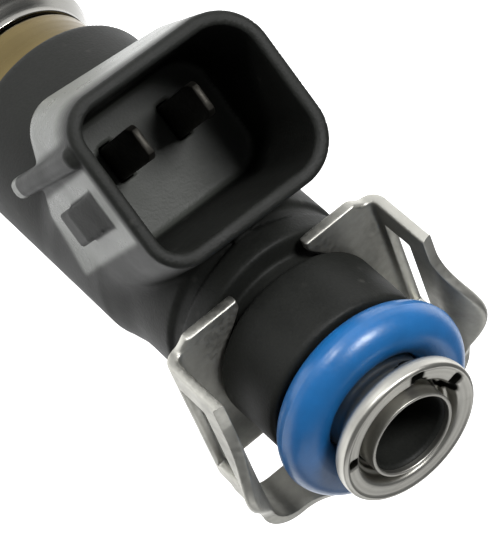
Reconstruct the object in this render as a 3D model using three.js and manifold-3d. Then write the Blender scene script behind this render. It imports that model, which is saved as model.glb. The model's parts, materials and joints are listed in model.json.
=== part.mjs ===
// A port fuel injector with a sheet-steel retainer clip, built from the inside out.
// Millimetres. +Z is the injector's axis, towards the fuel inlet. The nozzle's flat tip is at the origin.
// The electrical connector leans out towards -Y and up, and its latch lug is on the +X side.
import * as THREE from "three";
import { mergeVertices } from "three/addons/utils/BufferGeometryUtils.js";
import Module from "manifold-3d";

const wasm = await Module();
wasm.setup();

// Driving dimensions.
const GAP = 0.3; // between pieces that touch or are cut to each other
const PRESS = 0.15; // between concentric turned pieces
const ROUND = 48; // facets round an outer piece
const INNER_ROUND = 32; // facets round an inner piece
const SEAL_CORD = 3.53; // section of both O-rings
const SEAL_BORE = 7.52; // inside diameter of both O-rings
const UPPER_SEAL_Z = 56;
const SEAL_SPACING = 48; // between the two O-rings
const INLET_Z = 60.2;
const TUBE_R = 3.72;
const TUBE_BORE_R = 3.3;
const LIP_R = 5.35; // rolled lip of the inlet
const COLLAR_BORE_R = 2.96;
const COLLAR_BOTTOM_Z = 55;
const SCREEN_R = 2.5; // filter basket, outside
const SCREEN_WALL = 0.4;
const SCREEN_BOTTOM_Z = 41;
const NECK_R = 6.4;
const NECK_TOP_Z = 53.95;
const GROOVE_R = 5.5; // neck groove that the clip's wings sit in
const GROOVE_BOTTOM_Z = 46.8;
const GROOVE_TOP_Z = 48.3;
const SHOULDER_R = 7.25; // upper part of the moulded body
const BODY_R = 7.85; // lower part of the moulded body
const BODY_BOTTOM_Z = 20.5;
const BODY_TAPER_Z = 36.8; // where the lower part starts to narrow
const CAN_R = 6.2;
const CAN_BOTTOM_Z = 15.95;
const CAN_TOP_Z = 33;
const POLE_R = 3.45;
const POLE_FACE_Z = 24;
const SHELL_R = 3.95; // non-magnetic sleeve round the armature
const BOBBIN_BOTTOM_Z = 17.2;
const BOBBIN_TOP_Z = 31.4;
const BOBBIN_FLANGE = 0.6;
const BOBBIN_HUB = 0.35; // wall of the bobbin between its flanges
const ADJUSTER_BOTTOM_Z = 29.6;
const ARMATURE_BOTTOM_Z = 17.2;
const SPRING_SEAT_Z = 21.2; // floor of the armature's spring pocket
const VALVE_GAP = 0.15; // armature to pole piece with the valve shut; more than the lift
const STEM_R = 1.1;
const BALL_R = 1.6;
const BALL_Z = 3.15;
const SPRING_BORE_R = 1.65;
const NOZZLE_R = 3.72;
const NOZZLE_BORE_R = 3.1;
const FLANGE_R = 7.1;
const FLANGE_TOP_Z = 13.7;
const SHELL_SEAT_Z = 14.1;
const RETAINER_BOTTOM_Z = 3.4;
const RETAINER_TOP_Z = 5.9;
const RETAINER_R = 5.9;
const PLATE_THICKNESS = 0.4; // orifice plate

// Connector: its own axis leans towards the inlet, and these are measured along and across it.
const CONNECTOR_LEAN = THREE.MathUtils.degToRad(41);
const MOUTH_OUT = 16.72; // mouth centre to the injector's axis
const MOUTH_Z = 43.98;
const MOUTH_WIDTH = 14.6;
const MOUTH_HEIGHT = 12.7;
const MOUTH_CORNER = 3.1;
const SHROUD_WALL = 0.95;
const SHROUD_REACH = 26; // mouth to the end of the shroud's root inside the body
const SHROUD_FLARE = 1.35; // how far the nozzle side stands out at its fullest
const FLARE_TWIST = 0.45; // more than that at the latch side, less at the other
const FLARE_DEPTH = 8.5; // mouth to the fullest place
const FLARE_RETURN = 0.3; // share of the flare lost for each millimetre behind it
const SOCKET_DEPTH = 12.5;
const SOCKET_DRAFT = 0.024; // narrowing of the inlet side for each millimetre from the mouth
const LUG_START_DEPTH = 3;
const LUG_END_DEPTH = 9.7;
const LUG_HEIGHT = 1.1;
const LUG_WIDTH = 2.6;
const BLADE_PITCH = 4.9;
const BLADE_WIDTH = 2.6;
const BLADE_THICKNESS = 0.8;
const BLADE_TIP_DEPTH = 3.5;
const BLADE_END_DEPTH = 15.2;
const BLADE_OFFSET = -1.95; // from the mouth's middle, towards the nozzle

// Retainer clip.
const SHEET = 0.8;
const WING_BOTTOM_Z = 47.1;
const WING_SHEET = 0.9;
const CLIP_HALF = 9.1; // outer face of a side wall
const CLIP_FRONT_Y = -5.2;
const CLIP_BACK_Y = 9.6;
const CLIP_CORNER = 2.6;
const WALL_TOP_Z = 53.1;
const BACK_BOTTOM_Z = 49.5;
const WINDOW_Y = [-3.6, 5.4];
const WINDOW_Z = [48.6, 51.1];
const WING_FRONT_Y = -7;
const WING_REAR_Y = 7.1;
const WING_BORE_R = 5.8;
const PRONG_X = 2.9; // half the mouth of the fork
const LOBE_FLARE = 1.5; // how far a lobe leans out
const LOBE_RISE = 2.1; // how far it stands above the wall

const material = (color, roughness, metalness) =>
  new THREE.MeshStandardMaterial({ color, roughness, metalness });
const MATERIALS = {
  blackNylon: material(0x2b2d2c, 0.5, 0),
  blueRubber: material(0x2d73b4, 0.45, 0),
  brownRubber: material(0x5a3a24, 0.5, 0),
  brightSteel: material(0xc9c6bf, 0.22, 1),
  turnedSteel: material(0xa9a7a2, 0.35, 1),
  chromateSteel: material(0xb08a4a, 0.38, 1),
  clipSteel: material(0x8b8a84, 0.45, 1),
  tinnedBrass: material(0x8d8878, 0.35, 1),
  copperWire: material(0xa65c32, 0.4, 1),
  naturalNylon: material(0xd8cfae, 0.55, 0),
  screenMesh: material(0xb9b39a, 0.6, 0),
  ballSteel: material(0xd2d2d2, 0.12, 1),
};

const part = new THREE.Group();

// A geometry with only shared positions, which is what a solid is made from.
function shared(geometry) {
  const bare = geometry.clone();
  bare.deleteAttribute("normal");
  bare.deleteAttribute("uv");
  return mergeVertices(bare, 1e-4);
}

function toSolid(geometry) {
  const merged = shared(geometry);
  const triVerts = new Uint32Array(merged.index.array);
  const vertProperties = new Float32Array(merged.attributes.position.array);
  return new wasm.Manifold(new wasm.Mesh({ numProp: 3, vertProperties, triVerts }));
}

function toGeometry(solid) {
  const mesh = solid.getMesh();
  const geometry = new THREE.BufferGeometry();
  geometry.setAttribute("position", new THREE.BufferAttribute(mesh.vertProperties, 3));
  geometry.setIndex(new THREE.BufferAttribute(mesh.triVerts, 1));
  geometry.computeVertexNormals();
  return geometry;
}

function addPiece(name, geometry, look, group = part) {
  const mesh = new THREE.Mesh(geometry, MATERIALS[look]);
  mesh.name = name;
  group.add(mesh);
  return mesh;
}

// A profile of [radius, height] points turned round Z, its outer side always facing out.
function turned(profile, facets = ROUND) {
  const points = profile.map(([r, z]) => new THREE.Vector2(r, z));
  if (THREE.ShapeUtils.area(points) < 0) points.reverse();
  const onAxis = points.filter((p) => p.x === 0).length > 1;
  if (onAxis) {
    while (points[0].x !== 0 || points[points.length - 1].x !== 0) points.push(points.shift());
  } else {
    points.push(points[0].clone());
  }
  return shared(new THREE.LatheGeometry(points, facets).rotateX(Math.PI / 2));
}

// A plain ring or tube of rectangular section.
const sleeve = (inner, outer, bottom, top, facets = INNER_ROUND) =>
  turned([[inner, bottom], [outer, bottom], [outer, top], [inner, top]], facets);

function sealRing(height) {
  const cordR = SEAL_CORD / 2;
  const ringR = SEAL_BORE / 2 + cordR;
  const steps = Array.from({ length: 14 }, (_, i) => (i / 14) * 2 * Math.PI);
  const section = steps.map((a) => [ringR + cordR * Math.cos(a), height + cordR * Math.sin(a)]);
  return turned(section);
}

// A closed outline from [x, y] points, extruded upwards from a height.
function slab(points, bottom, thickness, holes = [], steps = 1) {
  const shape = new THREE.Shape(points.map(([x, y]) => new THREE.Vector2(x, y)));
  shape.holes = holes;
  const geometry = new THREE.ExtrudeGeometry(shape, { depth: thickness, steps, bevelEnabled: false });
  return geometry.translate(0, 0, bottom);
}

function block(low, high) {
  const size = high.map((value, i) => value - low[i]);
  const middle = high.map((value, i) => (value + low[i]) / 2);
  return new THREE.BoxGeometry(...size).translate(...middle);
}

// Points of an arc about a centre, from one angle to another, in degrees.
function arc(centreX, centreY, radius, from, to, steps) {
  return Array.from({ length: steps + 1 }, (_, i) => {
    const angle = THREE.MathUtils.degToRad(from + ((to - from) * i) / steps);
    return [centreX + radius * Math.cos(angle), centreY + radius * Math.sin(angle)];
  });
}

// A rectangle with round corners, centred on the origin.
function roundedRectangle(width, height, corner) {
  const x = width / 2 - corner;
  const y = height / 2 - corner;
  return [
    ...arc(x, -y, corner, -90, 0, 6),
    ...arc(x, y, corner, 0, 90, 6),
    ...arc(-x, y, corner, 90, 180, 6),
    ...arc(-x, -y, corner, 180, 270, 6),
  ];
}

// ---- fuel inlet ----

function inletTube() {
  return turned([
    [TUBE_BORE_R, CAN_TOP_Z + 2 * GAP],
    [TUBE_R, CAN_TOP_Z + 2 * GAP],
    [TUBE_R, INLET_Z - 2.7],
    [TUBE_R + 0.35, INLET_Z - 2.4],
    [LIP_R - 0.5, INLET_Z - 1.7],
    [LIP_R - 0.1, INLET_Z - 1.25],
    [LIP_R, INLET_Z - 0.8],
    [LIP_R - 0.12, INLET_Z - 0.3],
    [LIP_R - 0.5, INLET_Z],
    [LIP_R - 1, INLET_Z],
    [TUBE_R + 0.35, INLET_Z - 0.45],
    [TUBE_R, INLET_Z - 1.1],
    [TUBE_BORE_R, INLET_Z - 1.7],
  ]);
}

function filterCollar() {
  const outer = TUBE_BORE_R - 0.08;
  return turned([
    [COLLAR_BORE_R, COLLAR_BOTTOM_Z],
    [outer, COLLAR_BOTTOM_Z],
    [outer, INLET_Z - 0.1],
    [outer - 0.06, INLET_Z],
    [COLLAR_BORE_R + 0.06, INLET_Z],
    [COLLAR_BORE_R, INLET_Z - 0.1],
  ]);
}

// A fine-mesh basket hanging below the collar, closed at its lower end.
function filterScreen() {
  const rimR = TUBE_BORE_R - 0.2;
  const top = COLLAR_BOTTOM_Z - GAP;
  const floor = SCREEN_BOTTOM_Z + 2 * SCREEN_WALL;
  const bore = SCREEN_R - SCREEN_WALL;
  return turned(
    [
      [0, SCREEN_BOTTOM_Z],
      [SCREEN_R - 0.3, SCREEN_BOTTOM_Z],
      [SCREEN_R, SCREEN_BOTTOM_Z + 0.4],
      [SCREEN_R, top - 1.3],
      [rimR, top - 1.1],
      [rimR, top],
      [SCREEN_R, top],
      [bore, top - 1.5],
      [bore, floor],
      [0, floor],
    ],
    INNER_ROUND,
  );
}

addPiece("inlet_tube", inletTube(), "brightSteel");
addPiece("filter_collar", filterCollar(), "brightSteel");
addPiece("filter_screen", filterScreen(), "screenMesh");
addPiece("upper_o_ring", sealRing(UPPER_SEAL_Z), "blueRubber");

// ---- moulded body and its connector ----

const connector = new THREE.Group();
connector.position.set(0, -MOUTH_OUT, MOUTH_Z);
connector.rotation.x = Math.PI / 2 - CONNECTOR_LEAN;
connector.updateMatrix();
part.add(connector);

// A geometry given in the connector's own axes (x across, y towards the inlet, z out of the mouth).
const inPart = (geometry) => geometry.clone().applyMatrix4(connector.matrix);

// Moves the vertices on one side of the middle outwards by shift(across, along, depth below the mouth).
function drafted(geometry, side, shift) {
  const position = geometry.attributes.position;
  for (let i = 0; i < position.count; i += 1) {
    const along = position.getY(i);
    const depth = Math.max(0, -position.getZ(i));
    if (along * side > 0) position.setY(i, along + side * shift(position.getX(i), along, depth));
  }
  return geometry;
}

// The nozzle side stands out in step with depth, and falls back to the body behind its fullest place.
function flare(across, along, depth) {
  const back = Math.max(0, depth - FLARE_DEPTH);
  const share = Math.min(depth / FLARE_DEPTH, 1) - FLARE_RETURN * back;
  return share * (SHROUD_FLARE + (2 * FLARE_TWIST * across) / MOUTH_WIDTH);
}

function shroud() {
  const outline = roundedRectangle(MOUTH_WIDTH, MOUTH_HEIGHT, MOUTH_CORNER);
  return inPart(drafted(slab(outline, -SHROUD_REACH, SHROUD_REACH, [], 12), -1, flare));
}

function socket() {
  const width = MOUTH_WIDTH - 2 * SHROUD_WALL;
  const height = MOUTH_HEIGHT - 2 * SHROUD_WALL;
  const outline = roundedRectangle(width, height, MOUTH_CORNER - SHROUD_WALL);
  const draft = (across, along, depth) => -SOCKET_DRAFT * along * depth;
  return inPart(drafted(slab(outline, -SOCKET_DEPTH, SOCKET_DEPTH + 1), 1, draft));
}

// Where a terminal passes through the socket's floor.
function terminalSlot(side) {
  const x = (side * BLADE_PITCH) / 2;
  const halfWidth = BLADE_WIDTH / 2 + PRESS;
  const halfSheet = BLADE_THICKNESS / 2 + PRESS;
  const low = [x - halfSheet, BLADE_OFFSET - halfWidth, -BLADE_END_DEPTH - PRESS];
  const high = [x + halfSheet, BLADE_OFFSET + halfWidth, 1 - SOCKET_DEPTH];
  return inPart(block(low, high));
}

// The wedge on the side of the shroud that the harness plug latches behind.
function latchLug() {
  const face = MOUTH_WIDTH / 2;
  const outline = [
    [face - 1, -LUG_END_DEPTH],
    [face + LUG_HEIGHT, -LUG_END_DEPTH],
    [face + LUG_HEIGHT, -7.2],
    [face - 0.05, -LUG_START_DEPTH],
    [face - 1, -LUG_START_DEPTH],
  ];
  const wedge = slab(outline, -LUG_WIDTH / 2, LUG_WIDTH);
  return inPart(wedge.rotateX(Math.PI / 2));
}

// A short rib low on the body's side, beside the root of the shroud.
function bodyRib() {
  const rib = block([BODY_R - 1, -1, 25.6], [BODY_R + 0.4, 1, 30.4]);
  return rib.rotateZ(THREE.MathUtils.degToRad(-28));
}

function bodyRevolve() {
  const bore = TUBE_R + PRESS;
  const canBore = CAN_R + PRESS;
  return turned([
    [canBore, BODY_BOTTOM_Z],
    [BODY_R - 0.4, BODY_BOTTOM_Z],
    [BODY_R, BODY_BOTTOM_Z + 0.4],
    [BODY_R, BODY_TAPER_Z],
    [BODY_R - 0.15, BODY_TAPER_Z + 0.5],
    [SHOULDER_R, BODY_TAPER_Z + 2.6],
    [SHOULDER_R, GROOVE_BOTTOM_Z - 3.2],
    [SHOULDER_R - 0.35, GROOVE_BOTTOM_Z - 3],
    [SHOULDER_R - 0.35, GROOVE_BOTTOM_Z - 2],
    [SHOULDER_R, GROOVE_BOTTOM_Z - 1.8],
    [SHOULDER_R, GROOVE_BOTTOM_Z - 0.3],
    [SHOULDER_R - 0.3, GROOVE_BOTTOM_Z],
    [GROOVE_R, GROOVE_BOTTOM_Z],
    [GROOVE_R, GROOVE_TOP_Z],
    [NECK_R - 0.2, GROOVE_TOP_Z],
    [NECK_R, GROOVE_TOP_Z + 0.2],
    [NECK_R, NECK_TOP_Z - 0.45],
    [NECK_R - 0.3, NECK_TOP_Z],
    [bore, NECK_TOP_Z],
    [bore, CAN_TOP_Z + GAP],
    [canBore, CAN_TOP_Z + GAP],
  ]);
}

// The space that the can and the tube fill, kept clear of the shroud's root.
function bodyCore() {
  const bore = TUBE_R + PRESS;
  const canBore = CAN_R + PRESS;
  return turned([
    [0, BODY_BOTTOM_Z - 5],
    [canBore, BODY_BOTTOM_Z - 5],
    [canBore, CAN_TOP_Z + GAP],
    [bore, CAN_TOP_Z + GAP],
    [bore, NECK_TOP_Z + 1],
    [0, NECK_TOP_Z + 1],
  ]);
}

function overmould() {
  const belowBody = block([-20, -30, 0], [20, 30, BODY_BOTTOM_Z + 0.5]);
  const behindAxis = block([-20, 0, 0], [20, 30, 60]);
  const root = toSolid(shroud()).subtract(toSolid(belowBody)).subtract(toSolid(behindAxis));
  let solid = toSolid(bodyRevolve()).add(root.subtract(toSolid(bodyCore())));
  solid = solid.add(toSolid(latchLug()));
  solid = solid.add(toSolid(bodyRib()));
  solid = solid.subtract(toSolid(socket()));
  solid = solid.subtract(toSolid(terminalSlot(-1)));
  return solid.subtract(toSolid(terminalSlot(1)));
}

// A flat blade whose tip is chamfered on all its long edges.
function terminalBlade() {
  const half = BLADE_WIDTH / 2;
  const lead = 0.8;
  const tip = -BLADE_TIP_DEPTH;
  const outline = [
    [-half, -BLADE_END_DEPTH],
    [half, -BLADE_END_DEPTH],
    [half, tip - lead],
    [half - 0.5, tip],
    [0.5 - half, tip],
    [-half, tip - lead],
  ];
  const blade = slab(outline, -BLADE_THICKNESS / 2, BLADE_THICKNESS);
  return blade.rotateX(Math.PI / 2).rotateZ(Math.PI / 2);
}

addPiece("overmould", toGeometry(overmould()), "blackNylon");
for (const [name, side] of [["terminal_left", -1], ["terminal_right", 1]]) {
  const blade = addPiece(name, terminalBlade(), "tinnedBrass", connector);
  blade.position.set((side * BLADE_PITCH) / 2, BLADE_OFFSET, 0);
}

// ---- retainer clip ----

// The band in plan: two side walls and a back wall with round corners.
function clipBand() {
  const x = CLIP_HALF - CLIP_CORNER;
  const y = CLIP_BACK_Y - CLIP_CORNER;
  const inner = CLIP_CORNER - SHEET;
  const outline = [
    [CLIP_HALF, CLIP_FRONT_Y],
    ...arc(x, y, CLIP_CORNER, 0, 90, 6),
    ...arc(-x, y, CLIP_CORNER, 90, 180, 6),
    [-CLIP_HALF, CLIP_FRONT_Y],
    [SHEET - CLIP_HALF, CLIP_FRONT_Y],
    ...arc(-x, y, inner, 180, 90, 6),
    ...arc(x, y, inner, 90, 0, 6),
    [CLIP_HALF - SHEET, CLIP_FRONT_Y],
  ];
  return slab(outline, WING_BOTTOM_Z, WALL_TOP_Z - WING_BOTTOM_Z);
}

// One wing of the fork that hooks into the neck's groove, on the side given.
function clipWing(side) {
  const inner = THREE.MathUtils.radToDeg(Math.acos(PRONG_X / WING_BORE_R));
  const rear = 75;
  const outline = [
    [CLIP_HALF - 0.3, CLIP_FRONT_Y],
    [CLIP_HALF - 0.3, WING_REAR_Y],
    [WING_BORE_R * Math.cos(THREE.MathUtils.degToRad(rear)), WING_REAR_Y],
    ...arc(0, 0, WING_BORE_R, rear, -inner, 16),
    [PRONG_X, WING_FRONT_Y],
    [CLIP_HALF - 2.6, WING_FRONT_Y],
    [CLIP_HALF - 0.9, WING_FRONT_Y + 0.9],
  ];
  const wing = slab(outline, WING_BOTTOM_Z, WING_SHEET);
  return side > 0 ? wing : wing.rotateY(Math.PI).translate(0, 0, 2 * WING_BOTTOM_Z + WING_SHEET);
}

// A lobe that leans out of a wall's top edge, in the wall's own axes: x out, y up, z along.
function clipLobe(halfLength) {
  const steps = 5;
  const face = Array.from({ length: steps + 1 }, (_, i) => {
    const t = i / steps;
    return [LOBE_FLARE * t * t, LOBE_RISE * t];
  });
  const back = face.map(([out, up]) => [out - SHEET, up + 0.15 * (up / LOBE_RISE)]).reverse();
  const section = [[0, -0.4], ...face, ...back, [-SHEET, -0.4]];
  const band = slab(section, -halfLength, 2 * halfLength);
  const crown = arc(0, 0, 1, 0, 180, 14).map(([a, b]) => [a * halfLength, b * (LOBE_RISE + 0.2)]);
  const outline = slab([...crown, [-halfLength, -0.3], [halfLength, -0.3]], -3, 6).rotateY(Math.PI / 2);
  return toGeometry(toSolid(band).intersect(toSolid(outline)));
}

// Puts a lobe on the wall whose outer face looks along the direction given.
function placedLobe(direction, faceDistance, along, halfLength) {
  const up = new THREE.Vector3(0, 0, 1);
  const run = new THREE.Vector3().crossVectors(direction, up);
  const frame = new THREE.Matrix4().makeBasis(direction, up, run);
  const at = direction.clone().multiplyScalar(faceDistance).addScaledVector(run, along);
  frame.setPosition(at.addScaledVector(up, WALL_TOP_Z));
  return clipLobe(halfLength).applyMatrix4(frame);
}

function retainerClip() {
  const sideMiddle = 2;
  const sideHalf = 5.6;
  const backHalf = 6;
  let solid = toSolid(clipBand());
  const window = block([-20, WINDOW_Y[0], WINDOW_Z[0]], [20, WINDOW_Y[1], WINDOW_Z[1]]);
  const underBack = block([-20, WING_REAR_Y, 40], [20, 20, BACK_BOTTOM_Z]);
  solid = solid.subtract(toSolid(window)).subtract(toSolid(underBack));
  solid = solid.add(toSolid(clipWing(1))).add(toSolid(clipWing(-1)));
  const right = new THREE.Vector3(1, 0, 0);
  const left = new THREE.Vector3(-1, 0, 0);
  const back = new THREE.Vector3(0, 1, 0);
  solid = solid.add(toSolid(placedLobe(right, CLIP_HALF, -sideMiddle, sideHalf)));
  solid = solid.add(toSolid(placedLobe(left, CLIP_HALF, sideMiddle, sideHalf)));
  return solid.add(toSolid(placedLobe(back, CLIP_BACK_Y, 0, backHalf)));
}

addPiece("retainer_clip", toGeometry(retainerClip()), "clipSteel");

// ---- solenoid ----

function solenoidCan() {
  return turned([
    [SHELL_R + PRESS, CAN_BOTTOM_Z],
    [CAN_R - 0.3, CAN_BOTTOM_Z],
    [CAN_R, CAN_BOTTOM_Z + 0.3],
    [CAN_R, CAN_TOP_Z],
    [CAN_R - 0.85, CAN_TOP_Z],
    [CAN_R - 0.85, CAN_BOTTOM_Z + 1],
    [SHELL_R + PRESS, CAN_BOTTOM_Z + 1],
  ]);
}

function coilBobbin() {
  const bore = SHELL_R + PRESS;
  const hub = bore + BOBBIN_HUB;
  const flange = CAN_R - 1.05;
  const lowFlange = BOBBIN_BOTTOM_Z + BOBBIN_FLANGE;
  const highFlange = BOBBIN_TOP_Z - BOBBIN_FLANGE;
  return turned(
    [
      [bore, BOBBIN_BOTTOM_Z],
      [flange, BOBBIN_BOTTOM_Z],
      [flange, lowFlange],
      [hub, lowFlange],
      [hub, highFlange],
      [flange, highFlange],
      [flange, BOBBIN_TOP_Z],
      [bore, BOBBIN_TOP_Z],
    ],
    INNER_ROUND,
  );
}

function polePiece() {
  const plugR = TUBE_BORE_R - PRESS;
  const step = CAN_TOP_Z + GAP;
  const top = CAN_TOP_Z + 3;
  return turned(
    [
      [SPRING_BORE_R, POLE_FACE_Z],
      [POLE_R, POLE_FACE_Z],
      [POLE_R, step],
      [plugR, step],
      [plugR, top],
      [SPRING_BORE_R, top],
    ],
    INNER_ROUND,
  );
}

// A flat ring that closes the magnetic path between the can and the pole piece.
function fluxWasher() {
  return sleeve(POLE_R + PRESS, CAN_R - 1, BOBBIN_TOP_Z + GAP, CAN_TOP_Z - 0.1);
}

function coilWinding() {
  const inner = SHELL_R + PRESS + BOBBIN_HUB + 0.1;
  const bottom = BOBBIN_BOTTOM_Z + BOBBIN_FLANGE + PRESS;
  const top = BOBBIN_TOP_Z - BOBBIN_FLANGE - PRESS;
  return sleeve(inner, CAN_R - 1.1, bottom, top);
}

const nonmagneticShell = () => sleeve(POLE_R + PRESS, SHELL_R, SHELL_SEAT_Z + 0.2, POLE_FACE_Z + 2);

// The pressed-in tube whose depth sets the return spring's load.
const adjustingSleeve = () => sleeve(0.9, SPRING_BORE_R - PRESS, ADJUSTER_BOTTOM_Z, 36.8);

addPiece("solenoid_can", solenoidCan(), "chromateSteel");
addPiece("flux_washer", fluxWasher(), "turnedSteel");
addPiece("coil_bobbin", coilBobbin(), "naturalNylon");
addPiece("coil_winding", coilWinding(), "copperWire");
addPiece("pole_piece", polePiece(), "turnedSteel");
addPiece("nonmagnetic_shell", nonmagneticShell(), "turnedSteel");
addPiece("adjusting_sleeve", adjustingSleeve(), "turnedSteel");

// ---- valve ----

function armature() {
  const top = POLE_FACE_Z - VALVE_GAP;
  const stemHole = STEM_R + 0.1;
  return turned(
    [
      [stemHole, ARMATURE_BOTTOM_Z],
      [POLE_R - 0.3, ARMATURE_BOTTOM_Z],
      [POLE_R, ARMATURE_BOTTOM_Z + 0.3],
      [POLE_R, top],
      [SPRING_BORE_R, top],
      [SPRING_BORE_R, SPRING_SEAT_Z],
      [stemHole, SPRING_SEAT_Z],
    ],
    INNER_ROUND,
  );
}

function valveBall() {
  const ball = new THREE.SphereGeometry(BALL_R, 24, 16);
  return shared(ball.rotateX(Math.PI / 2).translate(0, 0, BALL_Z));
}

// A conical seat that the ball shuts on, a hair clear of it.
function valveSeat() {
  const clear = 0.05;
  const cone = BALL_Z - (BALL_R + clear) * Math.SQRT2;
  const hole = 0.6;
  const outer = NOZZLE_BORE_R - 0.1;
  const bottom = PLATE_THICKNESS + GAP;
  const top = 3;
  return turned(
    [[hole, bottom], [outer, bottom], [outer, top], [top - cone, top], [hole, hole + cone]],
    INNER_ROUND,
  );
}

class Helix extends THREE.Curve {
  constructor(radius, bottom, height, turns) {
    super();
    Object.assign(this, { radius, bottom, height, turns });
  }
  getPoint(t, target = new THREE.Vector3()) {
    const angle = t * this.turns * 2 * Math.PI;
    const z = this.bottom + t * this.height;
    return target.set(this.radius * Math.cos(angle), this.radius * Math.sin(angle), z);
  }
}

function returnSpring() {
  const wire = 0.22;
  const turns = 6;
  const bottom = SPRING_SEAT_Z + wire + 0.18;
  const height = ADJUSTER_BOTTOM_Z - GAP - bottom;
  const path = new Helix(SPRING_BORE_R - wire - 0.1, bottom, height, turns);
  const section = new THREE.Shape(arc(0, 0, wire, 0, 300, 5).map(([x, y]) => new THREE.Vector2(x, y)));
  const options = { steps: turns * 14, bevelEnabled: false, extrudePath: path };
  return new THREE.ExtrudeGeometry(section, options);
}

// Round holes on a circle about the axis.
function holesOnCircle(count, circleR, holeR) {
  return Array.from({ length: count }, (_, i) => {
    const angle = (i / count) * 2 * Math.PI;
    const centre = [circleR * Math.cos(angle), circleR * Math.sin(angle)];
    const points = arc(...centre, holeR, 0, 315, 7);
    return new THREE.Path(points.map(([x, y]) => new THREE.Vector2(x, y)));
  });
}

function disc(radius, bottom, thickness, holes) {
  const rim = arc(0, 0, radius, 0, 360 - 360 / INNER_ROUND, INNER_ROUND - 1);
  return slab(rim, bottom, thickness, holes);
}

// Keeps the stem central, with four holes round it for the fuel.
function guideRing() {
  const bore = arc(0, 0, STEM_R + 0.1, 0, 345, 23).map(([x, y]) => new THREE.Vector2(x, y));
  const holes = [new THREE.Path(bore), ...holesOnCircle(4, 2.05, 0.45)];
  return disc(NOZZLE_BORE_R - PRESS, 6, 1.4, holes);
}

const orificePlate = () => disc(2.8, 0, PLATE_THICKNESS, holesOnCircle(4, 0.42, 0.1));

addPiece("armature", armature(), "turnedSteel");
addPiece("valve_stem", sleeve(0.6, STEM_R, BALL_Z + BALL_R + 0.1, SPRING_SEAT_Z - GAP, 24), "turnedSteel");
addPiece("valve_ball", valveBall(), "ballSteel");
addPiece("return_spring", returnSpring(), "turnedSteel");
addPiece("valve_seat", valveSeat(), "turnedSteel");
addPiece("guide_ring", guideRing(), "turnedSteel");
addPiece("orifice_plate", orificePlate(), "turnedSteel");

// ---- nozzle ----

function nozzleBody() {
  const lowerSealTop = UPPER_SEAL_Z - SEAL_SPACING + SEAL_CORD / 2;
  const flange = lowerSealTop + GAP;
  return turned([
    [NOZZLE_BORE_R, PLATE_THICKNESS],
    [NOZZLE_R - 0.3, PLATE_THICKNESS],
    [NOZZLE_R, PLATE_THICKNESS + 0.3],
    [NOZZLE_R, flange],
    [FLANGE_R - 0.2, flange],
    [FLANGE_R, flange + 0.2],
    [FLANGE_R, FLANGE_TOP_Z],
    [CAN_R, FLANGE_TOP_Z + 1.6],
    [CAN_R, CAN_BOTTOM_Z - GAP],
    [SHELL_R + PRESS, CAN_BOTTOM_Z - GAP],
    [SHELL_R + PRESS, SHELL_SEAT_Z],
    [NOZZLE_BORE_R, SHELL_SEAT_Z],
  ]);
}

function sealRetainer() {
  const bore = NOZZLE_R + PRESS;
  return turned([
    [bore, RETAINER_BOTTOM_Z],
    [RETAINER_R - 0.8, RETAINER_BOTTOM_Z],
    [RETAINER_R, RETAINER_BOTTOM_Z + 1],
    [RETAINER_R, RETAINER_TOP_Z],
    [bore, RETAINER_TOP_Z],
  ]);
}

addPiece("nozzle_body", nozzleBody(), "turnedSteel");
addPiece("lower_o_ring", sealRing(UPPER_SEAL_Z - SEAL_SPACING), "brownRubber");
addPiece("seal_retainer", sealRetainer(), "blackNylon");

export default part;
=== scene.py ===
"""A port fuel injector with its rail clip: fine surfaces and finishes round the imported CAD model.

Lengths are millimetres in every property and formula, and metres in the meshes.
+Z is the injector's axis, towards the inlet. The connector leans out towards -Y, its latch lug is on +X.
"""

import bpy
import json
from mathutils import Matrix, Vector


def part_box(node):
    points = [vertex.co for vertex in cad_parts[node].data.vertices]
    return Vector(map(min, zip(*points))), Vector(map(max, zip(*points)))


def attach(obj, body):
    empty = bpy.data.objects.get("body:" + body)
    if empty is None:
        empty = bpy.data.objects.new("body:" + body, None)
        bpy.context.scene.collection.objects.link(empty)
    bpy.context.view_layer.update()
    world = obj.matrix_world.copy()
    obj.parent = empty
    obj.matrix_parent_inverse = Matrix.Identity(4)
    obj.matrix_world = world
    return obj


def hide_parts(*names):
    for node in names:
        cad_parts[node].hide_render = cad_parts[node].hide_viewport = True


bl_info = {
    "name": "Fuel injector",
    "version": (1, 0, 0),
    "blender": (4, 5, 0),
    "location": "View3D > Sidebar > Injector",
    "description": "Builds a fuel injector's moulding, seals, clip and metal parts round its CAD frame",
    "category": "Add Mesh",
}

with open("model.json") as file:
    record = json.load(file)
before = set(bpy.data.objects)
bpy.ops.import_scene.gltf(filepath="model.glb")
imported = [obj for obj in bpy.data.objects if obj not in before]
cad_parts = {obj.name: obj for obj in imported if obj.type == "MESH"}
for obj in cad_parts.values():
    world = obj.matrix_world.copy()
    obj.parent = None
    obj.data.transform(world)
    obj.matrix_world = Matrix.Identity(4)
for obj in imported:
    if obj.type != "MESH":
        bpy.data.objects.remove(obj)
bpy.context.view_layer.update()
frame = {"nodes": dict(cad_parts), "record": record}

import json
import math

import bmesh
import bpy
import numpy as np
from bpy.props import FloatProperty, FloatVectorProperty, PointerProperty
from mathutils import Matrix, Vector

BODY = "injector"
MM = 0.001
FREE = 0.15        # gap between a pressed piece and the moulding round it


def node_range(node, axis):
    """Lowest and highest coordinate of a CAD node along an axis, in mm."""
    low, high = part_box(node)
    return low[axis] / MM, high[axis] / MM


def ring_size(node):
    """Outer radius, bottom and top of a round CAD node, in mm."""
    bottom, top = node_range(node, 2)
    return node_range(node, 0)[1], bottom, top


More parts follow.
